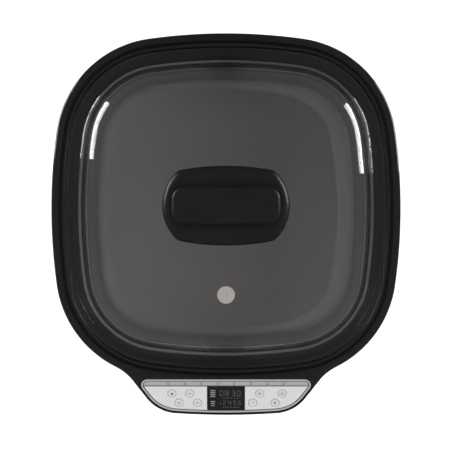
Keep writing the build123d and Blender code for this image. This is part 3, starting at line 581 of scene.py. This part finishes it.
# smoothed shells and fittings
smoothed = ["top_rim", "control_housing", "outer_housing", "hand_grip_left", "hand_grip_right",
            "bottom_cover", "rubber_feet", "panel_bezel", "power_inlet", "inner_well", "band_heater",
            "insulation_blanket", "wiring_harness", "sensor_spring", "sensor_plunger", "sensor_bracket",
            "base_heater"]
pieces = {}
for node in smoothed:
    pieces[node] = refine(node)
    dress(pieces[node], materials[slotOf[node]])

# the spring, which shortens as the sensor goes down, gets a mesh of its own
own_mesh(pieces["sensor_spring"])
print("shells smoothed")

# cooking pot
pot = dict(bead=4.4, beadHeight=5.8, ledge=2.5, flange=17.1, draft=8.3, wall=2.5, floor=3.0,
           bottomRound=22.0, flatReach=70.0, neckRound=2.4, ledgeRound=0.8, beadRound=2.1, flangeRound=1.0)


def makePot():
    # section from the middle of the inner floor over the rim and back under the bottom
    rim, top, low = potHigh.x / mm, potHigh.z / mm, potLow.z / mm
    seat = top - pot["beadHeight"]
    ledge = seat + pot["ledge"]
    inner = rim - pot["bead"]
    upper, lower = rim - pot["flange"], rim - pot["flange"] - pot["draft"]
    inside = low + pot["floor"]
    chain = roundCorners([
        (pot["flatReach"], inside), (lower - pot["wall"], inside, pot["bottomRound"] - pot["wall"]),
        (upper - pot["wall"], ledge, pot["neckRound"]), (inner, ledge, pot["ledgeRound"]),
        (inner, top, pot["beadRound"]), (rim, top, pot["beadRound"]), (rim, seat, pot["ledgeRound"]),
        (upper, seat, pot["flangeRound"]), (lower, low, pot["bottomRound"]), (pot["flatReach"], low)])
    piece = drawChain("potShell", chain, middle)
    carryRound(piece, outlineRoute())
    settle(piece, "pot", "pot_nonstick", "cooking_pot")
    dress(piece, materials["pot_nonstick"])


makePot()
print("pot made")

# glass lid
glassLow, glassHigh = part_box("lid_glass")
lid = dict(glass=4.0, flange=14.4, flangeRound=8.0, underRound=1.5, beadRise=0.9, beadWidth=4.8,
           beadFoot=1.2, beadInnerRound=1.6, beadOuterRound=2.3, edgeRound=2.0, lean=2.4,
           shoulderRound=27.0, crown=38.6, fall=3.5, crownRound=150.0, flatReach=72.0, ventHole=4.7,
           screwHole=3.0, washerRadius=7.0, roundSteps=10)
drill = dict(sides=48, depth=20.0)


def cylinderCutter(radius, x, y):
    bpy.ops.object.select_all(action="DESELECT")
    bpy.ops.mesh.primitive_cylinder_add(vertices=drill["sides"], radius=radius * mm,
                                        depth=drill["depth"] * mm, location=(x, y, glassHigh.z))
    bpy.ops.object.transform_apply(location=True, rotation=True, scale=True)
    return bpy.context.object


def makeLidGlass():
    # section over the dome, down to the flange and its bead, and back under the glass
    edge, seat, top = glassHigh.x / mm, glassLow.z / mm, glassHigh.z / mm
    flangeTop = seat + lid["glass"]
    foot = edge - lid["flange"]
    shoulder = foot - lid["lean"]
    flat = shoulder - lid["crown"]
    crown, thick = top - lid["fall"], lid["glass"]
    bead, beadTop = edge - lid["beadWidth"], flangeTop + lid["beadRise"]
    chain = roundCorners([
        (lid["flatReach"], top), (flat, top, lid["crownRound"]), (shoulder, crown, lid["shoulderRound"]),
        (foot, flangeTop, lid["flangeRound"]), (bead - lid["beadFoot"], flangeTop, lid["beadFoot"]),
        (bead, beadTop, lid["beadInnerRound"]), (edge, beadTop, lid["beadOuterRound"]),
        (edge, seat, lid["edgeRound"]), (foot - thick, seat, lid["underRound"]),
        (shoulder - thick, crown - thick, lid["shoulderRound"] - thick),
        (flat, top - thick, lid["crownRound"]), (lid["flatReach"], top - thick)], steps=lid["roundSteps"])
    piece = drawChain("lidGlass", chain, middle)
    carryRound(piece, outlineRoute())
    ventLow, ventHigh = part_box("steam_vent")
    cutters = [cylinderCutter(lid["ventHole"], 0, (ventLow.y + ventHigh.y) / 2)]
    low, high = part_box("screw_washers")
    for x in (low.x + lid["washerRadius"] * mm, high.x - lid["washerRadius"] * mm):
        cutters.append(cylinderCutter(lid["screwHole"], x, (low.y + high.y) / 2))
    cutHoles(piece, cutters)
    smoothPiece(piece)
    settle(piece, "lid", "lid_glass", "lid_glass")
    dress(piece, materials["lid_glass"])


makeLidGlass()
print("lid glass made")

# lid handle
handleLow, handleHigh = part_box("handle_base")
gripLow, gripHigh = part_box("handle_grip")
handle = dict(endBow=14.5, sideBow=4.6, cornerRound=11.0, topRound=7.0, footBevel=0.4, capInset=0.6,
              gripCorner=11.5, undercut=6.0, head=8.0, headRound=4.0, headUnderRound=2.5, endSteps=20,
              sideSteps=30, cornerSteps=10, baseRoundSteps=9, gripRoundSteps=8)


def barrelRoute(place, length, width):
    # four bulging sides joined by rounds, from the +X end's middle, anticlockwise
    endBow, sideBow, size = handle["endBow"], handle["sideBow"], handle["cornerRound"]
    x, y = length / 2 - endBow, width / 2 - sideBow
    endRadius = (y * y + endBow * endBow) / (2 * endBow)
    sideRadius = (x * x + sideBow * sideBow) / (2 * sideBow)
    endCentre, sideCentre = length / 2 - endRadius, width / 2 - sideRadius
    near, far = endRadius - size, sideRadius - size
    gapAcross = hypot(endCentre, sideCentre)
    toward = atan2(sideCentre, -endCentre)
    swing = acos((near ** 2 + gapAcross ** 2 - far ** 2) / (2 * near * gapAcross))
    angle = toward + swing
    if not 0 < angle < pi / 2:
        angle = toward - swing
    cornerX, cornerY = endCentre + near * cos(angle), near * sin(angle)
    upper = atan2(cornerY - sideCentre, cornerX)
    route = []
    for flip in (0, pi):
        turn = Matrix.Rotation(flip, 3, "Z")
        stops = [((endCentre, 0), angle, handle["endSteps"] // 2),
                 ((cornerX, cornerY), upper - angle, handle["cornerSteps"]),
                 ((0, sideCentre), pi - 2 * upper, handle["sideSteps"]),
                 ((-cornerX, cornerY), upper - angle, handle["cornerSteps"]),
                 ((-endCentre, 0), angle, handle["endSteps"] // 2)]
        for (x, y), sweepAngle, steps in stops:
            route.append(("turn", place + turn @ Vector((x, y, 0)) * mm, sweepAngle, steps))
    return route


def gripRoute(place, length, width):
    # straight sides and quarter-round corners, from the +X end's middle
    size = handle["gripCorner"]
    x, y = length / 2 - size, width / 2 - size
    route = [("run", Vector((0, y, 0)) * mm)]
    for corner, onward in (((x, y, 0), (-2 * x, 0, 0)), ((-x, y, 0), (0, -2 * y, 0)),
                           ((-x, -y, 0), (2 * x, 0, 0)), ((x, -y, 0), (0, y, 0))):
        route.append(("turn", place + Vector(corner) * mm, pi / 2, handle["cornerSteps"]))
        route.append(("run", Vector(onward) * mm))
    return route


def makeHandle():
    # a barrel-shaped foot, and a bar on it that tapers towards the foot
    place = Vector((0, (handleLow.y + handleHigh.y) / 2, 0))
    length, width = (handleHigh.x - handleLow.x) / mm, (handleHigh.y - handleLow.y) / mm
    low, high = handleLow.z / mm, handleHigh.z / mm
    reach = length / 2
    inside = reach - handle["cornerRound"] + handle["capInset"]
    chain = roundCorners([(inside, high), (reach, high, handle["topRound"]),
                          (reach, low + handle["footBevel"]), (reach - handle["footBevel"], low),
                          (inside, low)], steps=handle["baseRoundSteps"])
    base = drawChain("handleBase", chain, place)
    carryRound(base, barrelRoute(place, length, width))
    settle(base, "lid", "handle_black", "handle_base")
    dress(base, materials["handle_black"])

    gripLength, gripWidth = (gripHigh.x - gripLow.x) / mm, (gripHigh.y - gripLow.y) / mm
    half, foot, top = gripLength / 2, gripLow.z / mm, gripHigh.z / mm
    chain = roundCorners([(half - handle["gripCorner"], top), (half, top, handle["headRound"]),
                          (half, top - handle["head"], handle["headUnderRound"]),
                          (half - handle["undercut"], foot), (half - handle["gripCorner"], foot)],
                         steps=handle["gripRoundSteps"])
    grip = drawChain("handleGrip", chain, place)
    carryRound(grip, gripRoute(place, gripLength, gripWidth))
    settle(grip, "lid", "handle_black", "handle_grip")
    dress(grip, materials["handle_black"])


makeHandle()
print("handle made")

# steam vent
vent = dict(dish=0.12, dishSlope=0.5, lipRound=0.3, edgeRound=0.6, hole=0.35, groove=6.6, neckRound=0.2,
            neckGap=0.1, footInset=1.5, footRound=0.5, seamGap=0.01, steps=56, roundSteps=5)


def makeVent():
    # section up the bore, over the dished top and down the outside; it stops just short of its start
    low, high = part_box("steam_vent")
    place = Vector((0, (low.y + high.y) / 2, 0))
    radius, top, foot = (high.x - low.x) / 2 / mm, high.z / mm, low.z / mm
    glassTop, glassUnder = glassHigh.z / mm, glassHigh.z / mm - lid["glass"]
    dish, neck, flare = top - vent["dish"], lid["ventHole"] - vent["neckGap"], radius - vent["footInset"]
    chain = roundCorners([
        (vent["hole"], foot), (vent["hole"], dish), (vent["groove"] - vent["dishSlope"], dish),
        (vent["groove"], top, vent["lipRound"]), (radius, top, vent["edgeRound"]),
        (radius, glassTop, vent["neckRound"]), (neck, glassTop), (neck, glassUnder), (flare, glassUnder),
        (flare, foot, vent["footRound"]), (vent["hole"] + vent["seamGap"], foot)], steps=vent["roundSteps"])
    piece = drawChain("steamVent", chain, place)
    carryRound(piece, [("turn", place, 2 * pi, vent["steps"])])
    settle(piece, "lid", "silicone", "steam_vent")
    dress(piece, materials["silicone"])


makeVent()
print("vent made")

# control panel prints, measured in mm from the panel's upper edge down the slope
panel = dict(stripHeight=8.5, edgeSink=1.2, printRise=0.04, printSink=0.01, keyTop=0.45, stripTop=-0.1,
             windowTop=-0.05)


def deckMatrix():
    # sheet coordinates (across, up the slope, out of the deck) to the row frame
    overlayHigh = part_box("overlay_left")[1]
    tilt = acos(deckNormal.z)
    edgeY = overlayHigh.y + (panel["stripHeight"] * cos(tilt) - panel["edgeSink"] * sin(tilt)) * mm
    origin = Vector((0, edgeY, rimHigh.z))
    turn = Matrix((Vector((1, 0, 0)), deckBack, deckNormal)).transposed()
    return Matrix.Translation(origin) @ turn.to_4x4()


deckPlace = deckMatrix()


def layOnDeck(piece, x, down, top, turned=None):
    # move a mark's mesh from the origin to its place on the deck, a little sunk so that it leaves no gap
    height = top + panel["printRise"] / 2 - panel["printSink"]
    spot = Matrix.Translation(Vector((x, -down, height)) * mm)
    piece.data.transform(deckPlace @ spot @ (turned or Matrix.Identity(4)))
    return piece


def stroke(x, down, width, height, top, angle=0.0):
    # a thin printed bar
    bpy.ops.object.select_all(action="DESELECT")
    bpy.ops.mesh.primitive_cube_add(size=1, location=(0, 0, 0))
    size = Matrix.Diagonal((width * mm, height * mm, panel["printRise"] * mm, 1))
    return layOnDeck(bpy.context.object, x, down, top, Matrix.Rotation(angle, 4, "Z") @ size)


def arcStroke(x, down, radius, width, top, steps, start=0.0, end=2 * pi):
    # a thin printed ring or part of one, made by spinning a small upright face
    bpy.ops.object.select_all(action="DESELECT")
    bpy.ops.mesh.primitive_plane_add(size=1, location=(0, 0, 0))
    piece = bpy.context.object
    upright = Matrix.Rotation(pi / 2, 4, "X") @ Matrix.Diagonal((width * mm, panel["printRise"] * mm, 1, 1))
    out = Matrix.Translation((radius * mm, 0, 0))
    piece.data.transform(Matrix.Rotation(start, 4, "Z") @ out @ upright)
    bpy.ops.object.mode_set(mode="EDIT")
    bpy.ops.mesh.select_all(action="SELECT")
    bpy.ops.mesh.spin(steps=steps, angle=start - end, center=(0, 0, 0), axis=(0, 0, 1))
    bpy.ops.mesh.select_all(action="SELECT")
    bpy.ops.mesh.remove_doubles(threshold=mergeGap)
    if end - start == 2 * pi:
        bpy.ops.mesh.select_interior_faces()
        bpy.ops.mesh.delete(type="FACE")
    else:
        bpy.ops.mesh.fill_holes(sides=0)
    bpy.ops.mesh.select_all(action="SELECT")
    bpy.ops.mesh.normals_make_consistent(inside=False)
    bpy.ops.object.mode_set(mode="OBJECT")
    return layOnDeck(piece, x, down, top)


def spotMark(x, down, radius, top, sides=24, angle=0.0):
    # a filled printed dot, or a triangle with three sides
    bpy.ops.object.select_all(action="DESELECT")
    bpy.ops.mesh.primitive_cylinder_add(vertices=sides, radius=radius * mm, depth=panel["printRise"] * mm,
                                        location=(0, 0, 0))
    return layOnDeck(bpy.context.object, x, down, top, Matrix.Rotation(angle, 4, "Z"))


def joinMarks(name, marks, body, material, slotName):
    bpy.ops.object.select_all(action="DESELECT")
    for mark in marks:
        mark.select_set(True)
    bpy.context.view_layer.objects.active = marks[0]
    bpy.ops.object.join()
    piece = bpy.context.object
    piece.name = name
    piece.data.name = name
    settle(piece, body, slotName)
    dress(piece, material)


def evenly(count, pitch):
    # offsets of count marks about their middle
    return [(i - (count - 1) / 2) * pitch for i in range(count)]


keySet = dict(upperRow=15.75, lowerRow=25.4, ring=3.35, ringWidth=0.2, ringSteps=48)
sign = dict(bar=0.5, thinBar=0.4, hand=0.35, pot=1.0, potDrop=0.35, flame=0.75, flameRise=0.75, dot=0.42,
            dotPitch=1.3, plus=2.6, minus=2.8, steam=2.4, steamPitch=1.1, steamLean=0.25, power=1.45,
            powerSteps=24, powerStart=120, powerEnd=420, powerBar=1.6, powerRise=1.2, clock=1.5,
            clockSteps=28, minuteHand=1.1, minuteRise=0.5, hourHand=0.9, hourShift=0.4, play=1.6,
            playShift=-0.2)
keyRows = dict(menu="upperRow", preset="upperRow", plus="lowerRow", minus="lowerRow", keep_warm="upperRow",
               power="upperRow", timer="lowerRow", start="lowerRow")


def keySign(key, x, down):
    # the small plain sign printed on each key
    top, bar, thin, hand = panel["keyTop"], sign["bar"], sign["thinBar"], sign["hand"]
    if key == "menu":  # a pot under a flame
        return [spotMark(x, down + sign["potDrop"], sign["pot"], top),
                spotMark(x, down - sign["flameRise"], sign["flame"], top, sides=3)]
    if key == "preset":  # three dots
        return [spotMark(x + step, down, sign["dot"], top) for step in evenly(3, sign["dotPitch"])]
    if key == "plus":
        return [stroke(x, down, sign["plus"], bar, top), stroke(x, down, bar, sign["plus"], top)]
    if key == "minus":
        return [stroke(x, down, sign["minus"], bar, top)]
    if key == "keep_warm":  # three leaning strokes of steam
        return [stroke(x + step, down, thin, sign["steam"], top, angle=sign["steamLean"])
                for step in evenly(3, sign["steamPitch"])]
    if key == "power":  # an open ring with a bar in its gap
        return [arcStroke(x, down, sign["power"], thin, top, sign["powerSteps"],
                          radians(sign["powerStart"]), radians(sign["powerEnd"])),
                stroke(x, down - sign["powerRise"], thin, sign["powerBar"], top)]
    if key == "timer":  # a clock face with two hands
        return [arcStroke(x, down, sign["clock"], hand, top, sign["clockSteps"]),
                stroke(x, down - sign["minuteRise"], hand, sign["minuteHand"], top),
                stroke(x + sign["hourShift"], down, sign["hourHand"], hand, top)]
    # start has a triangle that points to the right
    return [spotMark(x + sign["playShift"], down, sign["play"], top, sides=3, angle=radians(-90))]


def makeKeyPrints():
    for key, row in keyRows.items():
        low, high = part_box("button_" + key)
        x, down = (low.x + high.x) / 2 / mm, keySet[row]
        ring = arcStroke(x, down, keySet["ring"], keySet["ringWidth"], panel["keyTop"], keySet["ringSteps"])
        name = "keyPrint" + "".join(word.capitalize() for word in key.split("_"))
        joinMarks(name, [ring] + keySign(key, x, down), "key_" + key, keyPrint, "key_silver")


# a long line, and eight lamp rings with two rows of dashes over each
strip = dict(lineRow=7.6, lineLength=157.0, lineWidth=0.5, lights=8, lightPitch=15.8, lightRow=6.0,
             lightRadius=1.25, ringWidth=0.2, ringSteps=24, dashRows=((3.0, 6.5), (4.1, 4.5)), dashes=4,
             dashShare=0.6, dashHeight=0.45)


def makeStripPrints():
    top = panel["stripTop"]
    marks = [stroke(0, strip["lineRow"], strip["lineLength"], strip["lineWidth"], top)]
    for x in evenly(strip["lights"], strip["lightPitch"]):
        for row, width in strip["dashRows"]:
            pitch = width / strip["dashes"]
            for step in evenly(strip["dashes"], pitch):
                marks.append(stroke(x + step, row, pitch * strip["dashShare"], strip["dashHeight"], top))
        marks.append(arcStroke(x, strip["lightRow"], strip["lightRadius"], strip["ringWidth"], top,
                               strip["ringSteps"]))
    joinMarks("stripPrint", marks, "cooker_base", stripPrint, "label_silver")


display = dict(clock=(0, 8, 3, 0), smallDigits=(1, 2, 4, 5, 6), digitHeight=5.4, digitWidth=2.9,
               bar=0.55, barShare=0.86, digitPitch=5.0, firstDigit=-4.4, clockGap=1.4, clockRow=15.6,
               smallFirst=-6.6, smallRow=25.6, smallSize=0.8, colon=2.4,
               colonRows=(14.4, 16.8), colonDot=0.45, dashRows=(20.6, 30.2), dashes=5, firstDash=-2.0,
               dashPitch=3.4, dash=(2.2, 0.5), block=-12.6, blockPitch=2.1, blockWidth=4.6,
               upperBlock=12.6, upperBars=4, upperHeight=1.3, lowerBlock=24.2, lowerBars=3,
               lowerHeight=1.1, lowerTaper=0.7)
segmentsOf = {0: "abcdef", 1: "bc", 2: "abdeg", 3: "abcdg", 4: "bcfg", 5: "acdfg", 6: "acdefg",
              8: "abcdefg"}


def digitMarks(x, down, value, size=1.0):
    # seven-bar numeral whose centre is at (x, down)
    w, h, bar = display["digitWidth"] * size, display["digitHeight"] * size, display["bar"] * size
    share, top = display["barShare"], panel["windowTop"]
    bars = dict(a=(0, -h / 2, w, bar), g=(0, 0, w, bar), d=(0, h / 2, w, bar),
                f=(-w / 2, -h / 4, bar, h / 2), b=(w / 2, -h / 4, bar, h / 2),
                e=(-w / 2, h / 4, bar, h / 2), c=(w / 2, h / 4, bar, h / 2))
    marks = []
    for segment in segmentsOf[value]:
        across, below, width, height = bars[segment]
        marks.append(stroke(x + across, down + below, width * share, height * share, top))
    return marks


def makeDisplayMarks():
    # clock digits over a row of small ones, and a block of lit bars at the left
    top, pitch = panel["windowTop"], display["digitPitch"]
    dim = []
    for i, value in enumerate(display["clock"]):
        gap = display["clockGap"] if i > 1 else 0  # the colon stands before the third digit
        dim += digitMarks(display["firstDigit"] + i * pitch + gap, display["clockRow"], value)
    for i, value in enumerate(display["smallDigits"]):
        across = display["smallFirst"] + i * pitch
        dim += digitMarks(across, display["smallRow"], value, display["smallSize"])
    for row in display["colonRows"]:
        dim.append(spotMark(display["colon"], row, display["colonDot"], top, sides=12))
    for row in display["dashRows"]:
        for i in range(display["dashes"]):
            dim.append(stroke(display["firstDash"] + i * display["dashPitch"], row, *display["dash"], top))
    joinMarks("displaySegments", dim, "cooker_base", dimSegment, "display_glass")
    lit = []
    for i in range(display["upperBars"]):
        row = display["upperBlock"] + i * display["blockPitch"]
        lit.append(stroke(display["block"], row, display["blockWidth"], display["upperHeight"], top))
    for i in range(display["lowerBars"]):
        row = display["lowerBlock"] + i * display["blockPitch"]
        width = display["blockWidth"] - display["lowerTaper"] * i
        lit.append(stroke(display["block"], row, width, display["lowerHeight"], top))
    joinMarks("displayBlock", lit, "cooker_base", litSegment, "display_glass")


makeKeyPrints()
makeStripPrints()
makeDisplayMarks()
print("panel prints made")

# floor, camera and lights
studio = dict(floorSize=14.0, floorTone=0.92, floorRough=(0.7, 0.8), backTone=0.0, frontTone=0.16,
              sideTone=0.11, sideReach=0.07, aimHeight=0.15)
fillLamps = [  # name, place, width, height, power: these brighten without being mirrored
    ("topFill", (0, 0, 2.6), 3.0, 3.0, 90),
    ("leftFill", (-2.0, 0, 1.2), 1.6, 1.6, 34),
    ("rightFill", (2.0, 0, 1.2), 1.6, 1.6, 38),
    ("frontFill", (0, -2.0, 1.2), 1.6, 1.6, 26),
    ("backFill", (0, 2.0, 1.2), 1.6, 1.6, 20),
]
streakLamps = [  # long soft boxes, low at the left and the right, that draw the glints
    ("leftBox", (-1.5, 0.66, 0.16), 0.9, 0.34, 20),
    ("rightBox", (1.5, 0.6, 0.16), 0.9, 0.34, 20),
]
cameraSet = dict(height=2.25, along=-0.0013, sensor=36, widthAtRim=0.4315, nearClip=0.05, farClip=20)


def makeFloor():
    bpy.ops.object.select_all(action="DESELECT")
    bpy.ops.mesh.primitive_plane_add(size=studio["floorSize"], location=(0, 0, 0))
    floor = bpy.context.object
    floor.name = "studioFloor"
    material, tree, shader = newMaterial("paleFloor")
    least, most = studio["floorRough"]
    grain = placeGroup(tree, fineGrain, Scale=30, Least=least, Most=most)
    shader.inputs["Base Color"].default_value = (*[studio["floorTone"]] * 3, 1)
    tree.links.new(grain.outputs["Rough"], shader.inputs["Roughness"])
    dress(floor, material)
    hideFromMirrors(floor)


def hideFromMirrors(thing):
    thing.visible_glossy = False
    thing.visible_transmission = False


def makeWorld():
    # dim room, brighter towards the front, with a soft glow to each side of the middle
    world = bpy.data.worlds.new("studioWorld")
    world.use_nodes = True
    tree = world.node_tree
    place = addNode(tree, "ShaderNodeTexCoord")
    axes = addNode(tree, "ShaderNodeSeparateXYZ")
    forward = addNode(tree, "ShaderNodeMapRange")
    forward.inputs["From Min"].default_value = 1
    forward.inputs["From Max"].default_value = -1
    forward.inputs["To Min"].default_value = studio["backTone"]
    forward.inputs["To Max"].default_value = studio["frontTone"]
    aside = addNode(tree, "ShaderNodeMath", operation="ABSOLUTE")
    glow = addNode(tree, "ShaderNodeMapRange", interpolation_type="SMOOTHSTEP")
    glow.inputs["From Max"].default_value = studio["sideReach"]
    glow.inputs["To Max"].default_value = studio["sideTone"]
    total = addNode(tree, "ShaderNodeMath", operation="ADD")
    link = tree.links.new
    link(place.outputs["Generated"], axes.inputs["Vector"])
    link(axes.outputs["X"], aside.inputs[0])
    link(aside.outputs["Value"], glow.inputs["Value"])
    link(axes.outputs["Y"], forward.inputs["Value"])
    link(forward.outputs["Result"], total.inputs[0])
    link(glow.outputs["Result"], total.inputs[1])
    link(total.outputs["Value"], tree.nodes["Background"].inputs["Color"])
    bpy.context.scene.world = world


def addLamp(name, place, width, height, power):
    light = bpy.data.lights.new(name, "AREA")
    light.shape = "RECTANGLE"
    light.size, light.size_y, light.energy = width, height, power
    holder = bpy.data.objects.new(name, light)
    aim = Vector((0, middle.y, studio["aimHeight"]))
    holder.location = place
    holder.rotation_euler = (aim - Vector(place)).to_track_quat("-Z", "Y").to_euler()
    bpy.context.collection.objects.link(holder)
    return holder


def makeCamera():
    # straight above, with the lens that shows widthAtRim at the rim's height
    lens = bpy.data.cameras.new("studioCamera")
    holder = bpy.data.objects.new("studioCamera", lens)
    bpy.context.collection.objects.link(holder)
    holder.location = (0, cameraSet["along"], cameraSet["height"])
    lens.sensor_width = cameraSet["sensor"]
    lens.lens = cameraSet["sensor"] * (cameraSet["height"] - rimHigh.z) / cameraSet["widthAtRim"]
    lens.clip_start, lens.clip_end = cameraSet["nearClip"], cameraSet["farClip"]
    bpy.context.scene.camera = holder
    bpy.context.scene.view_settings.view_transform = "Standard"


makeFloor()
makeWorld()
for lamp in fillLamps:
    hideFromMirrors(addLamp(*lamp))
for lamp in streakLamps:
    addLamp(*lamp)
makeCamera()
print("studio ready")
